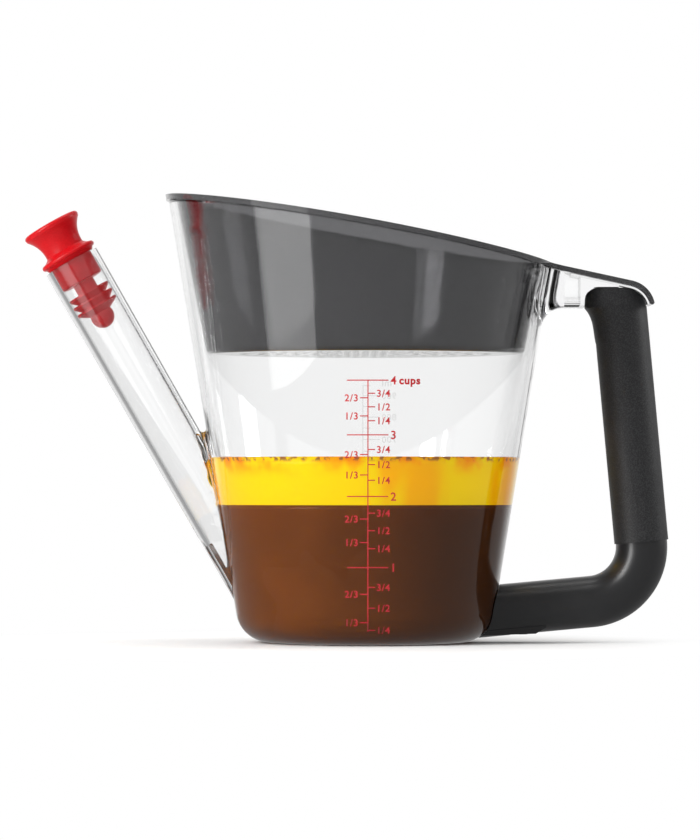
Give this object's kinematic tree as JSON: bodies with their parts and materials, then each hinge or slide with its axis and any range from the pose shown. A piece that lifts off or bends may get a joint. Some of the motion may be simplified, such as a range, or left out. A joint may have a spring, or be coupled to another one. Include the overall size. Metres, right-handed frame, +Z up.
{
  "type": "gravy fat separator",
  "caption": "Clear measuring jug with a low straight spout, lift-out strainer with a sloping lip, spout stopper and loop handle.",
  "frame": {"origin": "centre of the jug's flat base, on the table", "axes": "+Z up, +X towards the handle, -X towards the spout, both halves either side of the XZ plane alike"},
  "size_m": [0.25, 0.1514, 0.1736],
  "materials": {
    "clear_plastic": "clear, polished",
    "smoke_plastic": "smoke grey, see-through, polished",
    "red_silicone": "red, satin",
    "hard_black": "black, satin",
    "soft_black": "black, matt and soft",
    "steel": "plain stainless"
  },
  "bodies": {
    "jug_and_handle": {"jug": "clear_plastic", "handle_frame": "hard_black", "grip_sleeve": "soft_black", "handle_screw": "steel", "screw_plug": "soft_black"},
    "strainer_body": {"strainer": "smoke_plastic"},
    "stopper_body": {"stopper": "red_silicone"}
  },
  "joints": [
    {"name": "strainer_lift", "type": "slide", "parent": "jug_and_handle", "child": "strainer_body", "axis": [0, 0, 1], "range_m": [0, 0.08]},
    {"name": "stopper_pull", "type": "slide", "parent": "jug_and_handle", "child": "stopper_body", "axis": [-0.497, 0, 0.8678], "range_m": [0, 0.045]}
  ]
}
